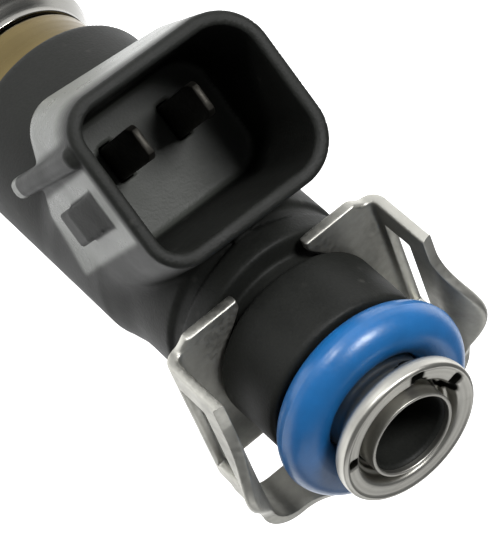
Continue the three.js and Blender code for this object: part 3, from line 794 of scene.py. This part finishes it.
def polished(points, s):
    """Mask of the moulding's painted highlight and smoother finish: 1 on the flat round the latch lug, the
    shroud's nozzle side and the ridge's end, less on the socket's floor, 0 elsewhere; every patch has soft
    ends."""
    across, along, depth = in_connector(*points.T)

    def within(value, low, high, soft):
        return np.clip((value - low) / soft, 0, 1) * np.clip((high - value) / soft, 0, 1)

    lug_half, lug_reach = s.lug_half + 0.2, s.lug_reach + 0.1
    latch_side = across > s.mouth_width / 2 - 0.2
    flat = within(along, -2.8, 3.1, 0.3) * within(depth, 0.6, 17.0, 0.8) * latch_side
    lug = within(along, -lug_half, lug_half, 0.1) * within(depth - s.lug_depth, -lug_reach, lug_reach, 0.1)
    halves = ((s.mouth_width - s.wall) / 2, (s.mouth_height - s.wall) / 2)
    outside = box_field((across, along), halves, s.mouth_corner - s.wall / 2) > 0
    side = within(-along, s.ridge_offset + 1.1, 20, 0.4) * within(depth, 0.6, 13.0, 2.5) * outside
    ridge = within(from_ridge(s, along, depth), -1.0, 1.0, 0.2) * latch_side
    ridge_end = ridge * within(depth - s.ridge_length, -1.6, 0.7, 0.2)
    floor = within(depth - s.socket_depth, -0.3, 0.5, 0.2)
    inside = (np.abs(across) < s.mouth_width / 2 - 1.2) & (np.abs(along) < s.mouth_height / 2 - 1.2)
    return np.maximum.reduce([flat * (1 - lug), side, ridge_end, 0.35 * floor * inside])


class INJECTOR_OT_moulding(bpy.types.Operator):
    """Builds the black moulded body with its neck, clip groove and connector shroud"""

    bl_idname = "injector.moulding"
    bl_label = "Moulded body"

    def execute(self, context):
        sizes = context.scene.injector_moulding
        field = moulding_field(sizes, context.scene.injector_terminals)
        margin = 3 * sizes.step
        low, high = (np.array(corner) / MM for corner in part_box("overmould"))
        points, faces = skin(field, low - margin, high + margin, sizes.step)
        # the mask of the painted highlight, which also lowers the roughness
        values = {"polished": polished(points, sizes)}
        new_piece("moulded_body", (points, faces), "black_nylon", "overmould", values=values)
        return {"FINISHED"}


def inlet_outline():
    """The inlet tube's (radius, height, corner radius) outline: its end is flared into a flat lip with a
    raised rim, and the seat behind the lip falls to the tube's bore."""
    bore, top = TUBE_R - 0.42, INLET_Z
    return rounded(
        [
            (bore, TUBE_BOTTOM, 0),
            (TUBE_R, TUBE_BOTTOM, 0),
            (TUBE_R, top - 2.65, 0.5),
            (LIP_R - 0.75, top - 1.75, 0.5),
            (LIP_R - 0.12, top - 1.35, 0.3),
            (LIP_R, top - 0.9, 0.3),
            (LIP_R - 0.02, top - 0.35, 0.25),
            (LIP_R - 0.26, top - 0.2, 0.12),
            (LIP_R - 0.45, top - 0.3, 0.12),
            (LIP_R - 1.3, top - 0.36, 0.2),
            (TUBE_R + 0.16, top - 0.8, 0.15),
            (TUBE_R + 0.08, top - 1.2, 0.15),
            (TUBE_R - 0.16, top - 1.3, 0.12),
            (TUBE_R - 0.22, top - 1.7, 0.12),
            (bore, top - 1.8, 0.1),
        ],
        8,
    )


CRIMP_DEPTH = 0.3
# Crimp marks: degrees round the lip, radius, half width and half reach in mm.
CRIMPS = (
    (-13.0, 4.45, 0.34, 0.34),
    (-111.0, 4.55, 0.44, 0.42),
    (-116.0, 3.85, 0.42, 0.42),
    (-160.0, 4.45, 0.40, 0.40),
    (-168.0, 3.82, 0.42, 0.40),
)


def crimps(angle, r):
    """How deep a place of the lip lies in a crimp mark, 0 to 1: the largest of the marks' bumps,
    each exp(-(turn / width)^4 - (reach / height)^4)."""
    deepest = np.zeros_like(r)
    for turn, radius, half_width, half_reach in CRIMPS:
        off = (angle - math.radians(turn) + np.pi) % (2 * np.pi) - np.pi
        dent = np.exp(-((off * radius / half_width) ** 4) - ((r - radius) / half_reach) ** 4)
        deepest = np.maximum(deepest, dent)
    return deepest


def crimped(angle, r, z):
    """Sinks the crimp marks into the lip's upper face."""
    dent = np.where((z > INLET_Z - 1.7) & (r > 3.4), crimps(angle, r), 0)
    return r, z - CRIMP_DEPTH * dent


def basket_outline():
    """The filter basket's outline, from the axis below round to the axis inside it."""
    rim, bottom, top = ring_size("filter_screen")
    side, wall, base = 2.5, 0.4, 0.5
    return rounded(
        [
            (0, bottom, 0),
            (side, bottom, 0.6),
            (side, top - 1.3, 0.2),
            (rim, top - 1.1, 0.1),
            (rim, top, 0.1),
            (side - 0.05, top, 0.1),
            (side - wall, top - 1.5, 0.3),
            (side - wall, bottom + base, 0.4),
            (0, bottom + base, 0),
        ]
    )


class INJECTOR_OT_inlet(bpy.types.Operator):
    """Builds the steel inlet tube with its rolled lip, the filter's collar, its basket and its mouth"""

    bl_idname = "injector.inlet"
    bl_label = "Fuel inlet"

    def execute(self, context):
        points, faces = revolve(finer(inlet_outline(), 0.14), 300, crimped)
        x, y, z = points.T
        # painted shade for the crimp marks: the turned finish darkens the lip where they lie
        soiled = np.where(z > INLET_Z - 2.4, crimps(np.arctan2(y, x), np.hypot(x, y)), 0)
        values = {"soiled": soiled}
        new_piece("inlet_lip_tube", (points, faces), "bright_steel", "inlet_tube", values=values)
        inner = COLLAR_BORE
        outer, low, top = ring_size("filter_collar")
        collar = [(inner, low, 0.05), (outer, low, 0.05), (outer, top, 0.09), (inner, top, 0.14)]
        new_piece("filter_ring", revolve(rounded(collar, 6), 192), "bright_steel", "filter_collar")
        new_piece("filter_basket", dome(basket_outline()), "screen_mesh", "filter_screen")
        inner, outer = 2.72, COLLAR_BORE - 0.02
        low, top = node_range("filter_screen", 2)[1] + 0.1, INLET_Z - 0.35
        mouth = [(inner, low, 0.05), (outer, low, 0.05), (outer, top, 0.1), (inner, top - 0.25, 0.2)]
        new_piece("filter_mouth", revolve(rounded(mouth), 128), "black_nylon")
        return {"FINISHED"}


def seal_ring(height):
    """An O-ring: a circle of the cord's radius carried round the ring, with the mould's parting line
    standing proud on its inner and outer equator by flash exp(-(side / width)^2)."""
    flash, width = 0.03, 0.09
    turn = np.linspace(0, 2 * np.pi, 96, endpoint=False)
    cord = SEAL_CORD_R - flash + flash * np.exp(-((np.sin(turn) * SEAL_CORD_R / width) ** 2))
    centre = SEAL_OUTER - SEAL_CORD_R
    return revolve(np.stack([centre + cord * np.cos(turn), height + cord * np.sin(turn)], -1), 192)


class INJECTOR_OT_seals(bpy.types.Operator):
    """Builds the two O-rings and the ring that holds the lower one"""

    bl_idname = "injector.seals"
    bl_label = "Seals"

    def execute(self, context):
        new_piece("rail_seal", seal_ring(UPPER_SEAL_Z), "blue_rubber", "upper_o_ring")
        new_piece("manifold_seal", seal_ring(LOWER_SEAL_Z), "brown_rubber", "lower_o_ring")
        outer, bottom, top = ring_size("seal_retainer")
        bore = TUBE_R + FREE
        keeper = [
            (bore, bottom, 0.1),
            (outer - 0.8, bottom, 0.3),
            (outer, bottom + 1.0, 0.3),
            (outer, top, 0.3),
            (bore, top, 0.1),
        ]
        new_piece("seal_keeper", revolve(rounded(keeper)), "black_nylon", "seal_retainer")
        return {"FINISHED"}


def blade_surface(s, side):
    """A blade: a superellipse section, |a|^8 + |b|^8 = 1, carried down its length and narrowed over
    the last millimetre at the tip; the ends are closed by shrinking the section to a point."""
    turn = np.linspace(0, 2 * np.pi, 48, endpoint=False)
    unit_a, unit_b = (np.sign(f) * np.abs(f) ** (2 / 8) for f in (np.cos(turn), np.sin(turn)))
    lead = s.tip_depth + np.array([0, 0.02, 0.1, 0.3, 0.6, 1.0, 1.3])
    shaft = np.linspace(s.tip_depth + 2, s.end_depth - 0.1, 14)
    depth = np.concatenate([lead, shaft, [s.end_depth, s.end_depth]])
    scale = np.concatenate([[0, 0.55, 0.62, 0.72, 0.86, 0.97, 1.0], np.ones(14), [0.9, 0.0]])
    breadth = np.where(scale == 0, 0, 0.35 + 0.65 * scale)
    across = side * s.pitch / 2 + s.thickness / 2 * scale[:, None] * unit_a
    along = s.offset + s.width / 2 * breadth[:, None] * unit_b
    points = from_connector(across, along, depth[:, None]).reshape(-1, 3)
    return points, grid_faces(len(depth), len(turn), False, True)


class INJECTOR_OT_terminals(bpy.types.Operator):
    """Builds the connector's two flat blades"""

    bl_idname = "injector.terminals"
    bl_label = "Terminals"

    def execute(self, context):
        for name, side in (("left", -1), ("right", 1)):
            shape = blade_surface(context.scene.injector_terminals, side)
            weld(new_piece("blade_" + name, shape, "tinned_brass", "terminal_" + name))
        return {"FINISHED"}


def clip_path(s):
    """Stations round the band's middle line, from the front of the -X wall round the back to the front of
    the +X wall: x, y, the outward direction and the top edge's height, and how many lie on each side
    wall. Each lobe's height is rise (0.5 + 0.5 cos(pi u))^0.85, u from -1 to 1 along the lobe."""
    middle = s.half_width - s.sheet / 2
    radius = s.corner - s.sheet / 2
    rear = s.back_y - s.corner
    front, back = s.window_front, s.window_back
    ahead = [s.front_y, s.front_y + CREASE, front - CREASE, front, front + CREASE]
    behind = [back - CREASE, back, back + CREASE, rear - 0.5, rear]
    side = np.concatenate([ahead, np.linspace(front + 0.6, back - 0.6, 16), behind])
    turn = np.radians(np.linspace(0, 90, 9))[1:-1]
    across = np.linspace(radius - middle, middle - radius, 25)
    half_x = np.concatenate([np.full(len(side), middle), middle - radius + radius * np.cos(turn)])
    half_y = np.concatenate([side, rear + radius * np.sin(turn)])
    half_out_x = np.concatenate([np.ones(len(side)), np.cos(turn)])
    half_out_y = np.concatenate([np.zeros(len(side)), np.sin(turn)])
    x = np.concatenate([-half_x, across, half_x[::-1]])
    y = np.concatenate([half_y, np.full(len(across), rear + radius), half_y[::-1]])
    out_x = np.concatenate([-half_out_x, 0 * across, half_out_x[::-1]])
    out_y = np.concatenate([half_out_y, 0 * across + 1, half_out_y[::-1]])
    lobe = np.where(np.abs(out_x) > 0.999, (y - 1.9) / 5.9, np.where(out_y > 0.999, x / 6.0, 1))
    crown = (0.5 + 0.5 * np.cos(np.pi * np.clip(lobe, -1, 1))) ** 0.85
    return x, y, out_x, out_y, s.wall_top + s.lobe_rise * crown, len(side)


def clip_band(s):
    """The band: its rows climb from the wings' bend to the top edge, and above the wall's top it leans out
    by flare t^1.7, where t is the share of the lobe's rise. Cells in the windows and below the back wall
    are left out."""
    x, y, out_x, out_y, top, sides = clip_path(s)
    low, high, back = s.window_low, s.window_high, s.back_bottom
    fixed = [WING_Z + s.bend, low, low + CREASE, back, back + CREASE, 50.1, 50.6]
    fixed += [high - CREASE, high, high + CREASE, 51.8, 52.4, 52.8]
    start = s.wall_top - 0.1
    upper = start + (top[:, None] - start) * np.array([0, 0.3, 0.6, 0.85, 1.0])
    upper[:, 3] = np.minimum(upper[:, 3], upper[:, 4] - 0.02)
    z = np.concatenate([np.broadcast_to(fixed, (len(x), len(fixed))), upper], 1)
    lean = s.lobe_flare * np.clip((z - s.wall_top + 0.3) / (s.lobe_rise + 0.3), 0, None) ** 1.7
    points = np.stack([x[:, None] + out_x[:, None] * lean, y[:, None] + out_y[:, None] * lean, z], -1)
    rows, columns = z.shape
    faces = grid_faces(rows, columns, False, False)[:, ::-1]
    i, j = np.divmod(np.arange(len(faces)), columns - 1)
    y_mid = (y[i] + y[i + 1]) / 2
    z_mid = (z[i, j] + z[i, j + 1]) / 2
    on_side = (i < sides - 1) | (i >= rows - sides)
    in_window = (y_mid > s.window_front) & (y_mid < s.window_back) & (z_mid > low) & (z_mid < high)
    left_out = np.where(on_side, in_window, z_mid < back)
    return points.reshape(-1, 3), faces[~left_out]


def clip_wing(s, side):
    """A wing of the fork: a flat sheet from the neck's arc, x = sqrt(fork^2 - y^2), out to the bend, which
    rises a quarter turn to meet the side wall. Its prong reaches past the wall's front and is cut back at
    the corner."""
    _, wall_y, _, _, _, sides = clip_path(s)
    y = np.concatenate([[s.prong_y, s.prong_y + CREASE, s.prong_y + 0.42], wall_y[:sides]])
    prong_rows = 3
    corner_cut, prong_x, heel_x = 0.8, 2.9, 1.52
    inside_bend = s.half_width - s.sheet / 2 - s.bend
    past_wall = np.clip((s.front_y - y) / (s.front_y - s.prong_y), 0, 1)
    start = inside_bend - corner_cut * past_wall
    hook = np.sqrt(np.clip(s.fork_r**2 - y**2, 0, None))
    inner = np.maximum(hook, np.where(y < 0, prong_x, heel_x))
    share = np.array([0, 0.06, 0.25, 0.45, 0.65, 0.85, 1.0])
    flat_x = inner[:, None] + (start - inner)[:, None] * share
    turn = np.radians([22.5, 45, 67.5, 90])
    bend_x = np.broadcast_to(inside_bend + s.bend * np.sin(turn), (len(y), len(turn)))
    bend_z = np.broadcast_to(WING_Z + s.bend * (1 - np.cos(turn)), (len(y), len(turn)))
    x = np.concatenate([flat_x, bend_x], 1)
    z = np.concatenate([np.full(flat_x.shape, WING_Z), bend_z], 1)
    points = np.stack([side * x, np.broadcast_to(y[:, None], x.shape), z], -1).reshape(-1, 3)
    faces = grid_faces(len(y), x.shape[1], False, False)
    i, j = np.divmod(np.arange(len(faces)), x.shape[1] - 1)
    faces = faces[(j < len(share) - 1) | (i >= prong_rows)]
    return points, faces if side > 0 else faces[:, ::-1]


def together(*shapes):
    """Several (points, faces) as one."""
    points, faces = zip(*shapes)
    starts = np.cumsum([0] + [len(p) for p in points[:-1]])
    return np.concatenate(points), np.concatenate([f + start for f, start in zip(faces, starts)])


def mark_edges(piece):
    """Writes the attribute "rubbed": 1 on the sheet's free edges, which only one face uses."""
    mesh = piece.data
    used = np.zeros(len(mesh.loops), np.int32)
    mesh.loops.foreach_get("edge_index", used)
    ends = np.zeros(len(mesh.edges) * 2, np.int32)
    mesh.edges.foreach_get("vertices", ends)
    free = np.bincount(used, minlength=len(mesh.edges)) == 1
    rubbed = np.zeros(len(mesh.vertices), np.float32)
    rubbed[ends.reshape(-1, 2)[free]] = 1
    mesh.attributes.new("rubbed", "FLOAT", "POINT").data.foreach_set("value", rubbed)


class INJECTOR_OT_clip(bpy.types.Operator):
    """Builds the sheet-steel clip that holds the injector in the fuel rail's cup"""

    bl_idname = "injector.clip"
    bl_label = "Retainer clip"

    def execute(self, context):
        s = context.scene.injector_clip
        points, faces = together(clip_band(s), clip_wing(s, -1), clip_wing(s, 1))
        cos, sin = math.cos(s.turn), math.sin(s.turn)
        points = points @ np.array([[cos, sin, 0], [-sin, cos, 0], [0, 0, 1]])
        clip = new_piece("rail_clip", (points, faces), "clip_steel", "retainer_clip")
        weld(clip)
        mark_edges(clip)
        solid = clip.modifiers.new("Sheet", "SOLIDIFY")
        solid.thickness = s.sheet * MM
        solid.offset = 0.0
        solid.use_even_offset = True
        smooth = clip.modifiers.new("Smooth", "SUBSURF")
        smooth.levels = smooth.render_levels = 2
        return {"FINISHED"}


def can_outline():
    """The solenoid's can: a cup open at the top, with a hole in its floor round the coil's shell."""
    inner, floor = CAN_R - 0.85, CAN_BOTTOM + 1
    return rounded(
        [
            (SHELL_R, CAN_BOTTOM, 0.1),
            (CAN_R, CAN_BOTTOM, 0.45),
            (CAN_R, CAN_TOP, 0.2),
            (inner, CAN_TOP, 0.1),
            (inner, floor, 0.3),
            (SHELL_R, floor, 0.1),
        ],
        7,
    )


def nozzle_outline():
    """The nozzle body: a stem through the lower seal, a flange with a groove, and a cone to the can."""
    flange, bottom, top = ring_size("nozzle_body")
    seat = LOWER_SEAL_Z + SEAL_CORD_R + 0.3
    bore, ring_z, ring_r = 3.1, 12.05, flange - 0.35
    flange_top, cone_top, chamber = 13.7, 15.3, 14.1
    return rounded(
        [
            (bore, bottom, 0.05),
            (TUBE_R, bottom, 0.3),
            (TUBE_R, seat, 0.3),
            (flange, seat, 0.25),
            (flange, ring_z - 0.45, 0.1),
            (ring_r, ring_z - 0.25, 0.1),
            (ring_r, ring_z + 0.25, 0.1),
            (flange, ring_z + 0.45, 0.1),
            (flange, flange_top, 0.3),
            (CAN_R, cone_top, 0.3),
            (CAN_R, top, 0.1),
            (SHELL_R, top, 0.1),
            (SHELL_R, chamber, 0),
            (bore, chamber, 0.2),
        ],
        6,
    )


class INJECTOR_OT_nozzle(bpy.types.Operator):
    """Builds the solenoid's can and the nozzle body"""

    bl_idname = "injector.nozzle"
    bl_label = "Can and nozzle"

    def execute(self, context):
        new_piece("coil_can", revolve(can_outline()), "chromate_steel", "solenoid_can")
        new_piece("valve_holder", revolve(nozzle_outline()), "turned_steel", "nozzle_body")
        return {"FINISHED"}


def winding_outline():
    """The winding's outline: its outer side is a row of ridges, r = outer - dip (1 - |sin(pi n t)|), one
    for each turn of wire."""
    outer, bottom, top = ring_size("coil_winding")
    inner, dip, wire = 4.55, 0.12, 0.17
    rows = int((top - bottom) / (2 * wire))
    wave = np.linspace(0, 1, rows * 8, endpoint=False)
    ridge = outer - dip * (1 - np.abs(np.sin(np.pi * rows * wave)))
    heights = bottom + (top - bottom) * wave
    return np.concatenate([np.stack([ridge, heights], -1), [[inner, top], [inner, bottom]]])


def helix_tube(radius, bottom, top, turns, wire, steps=420, sides=16):
    """A wire along a helix: centre (R cos a, R sin a, z), its section turned with the path. The last
    ring at each end is drawn in to close it."""
    share = np.linspace(0, 1, steps)
    angle = share * turns * 2 * np.pi
    centre = np.stack([radius * np.cos(angle), radius * np.sin(angle), bottom + (top - bottom) * share], -1)
    outward = np.stack([np.cos(angle), np.sin(angle), np.zeros(steps)], -1)
    along = np.gradient(centre, axis=0)
    along /= np.linalg.norm(along, axis=1, keepdims=True)
    third = np.cross(along, outward)
    turn = np.linspace(0, 2 * np.pi, sides, endpoint=False)
    size = np.full(steps, wire)
    size[[0, -1]] = 0
    size[[1, -2]] = wire * 0.8
    ring = outward[:, None] * np.cos(turn)[:, None] + third[:, None] * np.sin(turn)[:, None]
    points = centre[:, None] + ring * size[:, None, None]
    return points.reshape(-1, 3), grid_faces(steps, sides, False, True)


class INJECTOR_OT_coil(bpy.types.Operator):
    """Builds the coil's winding with its ridges of wire, and the return spring"""

    bl_idname = "injector.coil"
    bl_label = "Coil and spring"

    def execute(self, context):
        new_piece("winding", revolve(winding_outline(), 96), "copper_wire", "coil_winding")
        outer, bottom, top = ring_size("return_spring")
        wire = 0.22
        shape = helix_tube(outer - wire, bottom + wire, top - wire, 6, wire)
        weld(new_piece("spring", shape, "turned_steel", "return_spring"))
        return {"FINISHED"}


class INJECTOR_OT_inner(bpy.types.Operator):
    """Gives the inner pieces, which keep their CAD shapes, their finishes"""

    bl_idname = "injector.inner"
    bl_label = "Inner pieces"

    def execute(self, context):
        slots = {entry["node"]: entry["material_slot"] for entry in frame["record"]["subparts"]}
        for node, piece in frame["nodes"].items():
            if not piece.hide_render:
                piece.data.materials.clear()
                piece.data.materials.append(finish(slots[node]))
        return {"FINISHED"}


# ---- stage, in metres ----

CAMERA_AT = (0.049986, -0.153598, 0.161910)
CAMERA_FORWARD = (-0.25259, 0.76197, -0.59632)
CAMERA_UP = (-0.58259, -0.61183, -0.53502)
CAMERA_LENS = 199.26


def soft_light(name, place, aim, size, power):
    """A rectangular area light that points at aim."""
    light = bpy.data.lights.new(name, "AREA")
    light.shape = "RECTANGLE"
    light.size, light.size_y = size
    light.energy = power
    lamp = new_object(name, light)
    lamp.location = place
    lamp.rotation_euler = (Vector(aim) - Vector(place)).to_track_quat("-Z", "Y").to_euler()


def paper_finish():
    """Matt white paper, lit from below where it lies behind the object."""
    paper, shader, n = new_material("pale_floor", 0.0)
    tone = n.mix(n.noise(n.place(), 6.0, 2.0), (0.90, 0.90, 0.90, 1), (0.93, 0.93, 0.93, 1))
    glow = n.mix(n.span(n.axes()[1], -0.08, -0.01), (0, 0, 0, 1), (1, 1, 1, 1))
    values = {"Base Color": tone, "Roughness": 0.9, "Emission Color": glow, "Emission Strength": 1.1}
    n.feed(shader, values)
    return paper


def new_floor():
    """A square floor, just under the nozzle's tip."""
    half, drop = 3.0, -0.0002
    corners = [(-half, -half, drop), (half, -half, drop), (half, half, drop), (-half, half, drop)]
    mesh = bpy.data.meshes.new("floor")
    mesh.from_pydata(corners, [], [(0, 1, 2, 3)])
    mesh.materials.append(paper_finish())
    new_object("floor", mesh)


def new_camera():
    """The camera, placed by its forward and up directions."""
    lens = bpy.data.cameras.new("camera")
    lens.lens = CAMERA_LENS
    lens.clip_start, lens.clip_end = 0.01, 20.0
    camera = new_object("camera", lens)
    forward, up = Vector(CAMERA_FORWARD).normalized(), Vector(CAMERA_UP).normalized()
    turn = Matrix((forward.cross(up), up, -forward)).transposed().to_4x4()
    camera.matrix_world = Matrix.Translation(CAMERA_AT) @ turn
    return camera


class INJECTOR_OT_stage(bpy.types.Operator):
    """Adds the pale floor, the soft lights and the camera"""

    bl_idname = "injector.stage"
    bl_label = "Stage"

    def execute(self, context):
        scene = context.scene
        new_floor()
        world = scene.world = bpy.data.worlds.new("studio")
        world.use_nodes = True
        tree = world.node_tree
        Nodes(tree).feed(tree.nodes["Background"], {"Color": (0.96, 0.98, 1.0, 1), "Strength": 0.15})
        scene.view_settings.view_transform = "Standard"
        middle = (0, 0, 0.045)
        soft_light("key", (-0.15, -0.36, 0.28), middle, (0.14, 0.14), 2.2)
        soft_light("back_top", (0.10, 0.42, 0.34), middle, (0.80, 0.35), 0.9)
        soft_light("low_front", (0.06, -0.28, 0.03), (0, 0, 0.05), (0.05, 0.05), 0.25)
        scene.camera = new_camera()
        return {"FINISHED"}


OPERATORS = (
    INJECTOR_OT_stage,
    INJECTOR_OT_moulding,
    INJECTOR_OT_inlet,
    INJECTOR_OT_seals,
    INJECTOR_OT_terminals,
    INJECTOR_OT_clip,
    INJECTOR_OT_nozzle,
    INJECTOR_OT_coil,
    INJECTOR_OT_inner,
)


class INJECTOR_PT_panel(bpy.types.Panel):
    """Lists the injector's pieces"""

    bl_label = "Fuel injector"
    bl_idname = "INJECTOR_PT_panel"
    bl_space_type = "VIEW_3D"
    bl_region_type = "UI"
    bl_category = "Injector"

    def draw(self, context):
        for operator in OPERATORS:
            self.layout.operator(operator.bl_idname)
        for name in SETTINGS:
            group = getattr(context.scene, name)
            for key in group.__annotations__:
                self.layout.prop(group, key)


SETTINGS = {
    "injector_moulding": MouldingSizes,
    "injector_terminals": TerminalSizes,
    "injector_clip": ClipSizes,
    "injector_colours": Colours,
}
CLASSES = (*SETTINGS.values(), *OPERATORS, INJECTOR_PT_panel)


def register():
    for cls in CLASSES:
        bpy.utils.register_class(cls)
    for name, group in SETTINGS.items():
        setattr(bpy.types.Scene, name, PointerProperty(type=group))


def unregister():
    for name in SETTINGS:
        delattr(bpy.types.Scene, name)
    for cls in reversed(CLASSES):
        bpy.utils.unregister_class(cls)


def main():
    register()
    for operator in OPERATORS:
        getattr(bpy.ops.injector, operator.bl_idname.split(".")[1])()


if __name__ == "__main__":
    main()
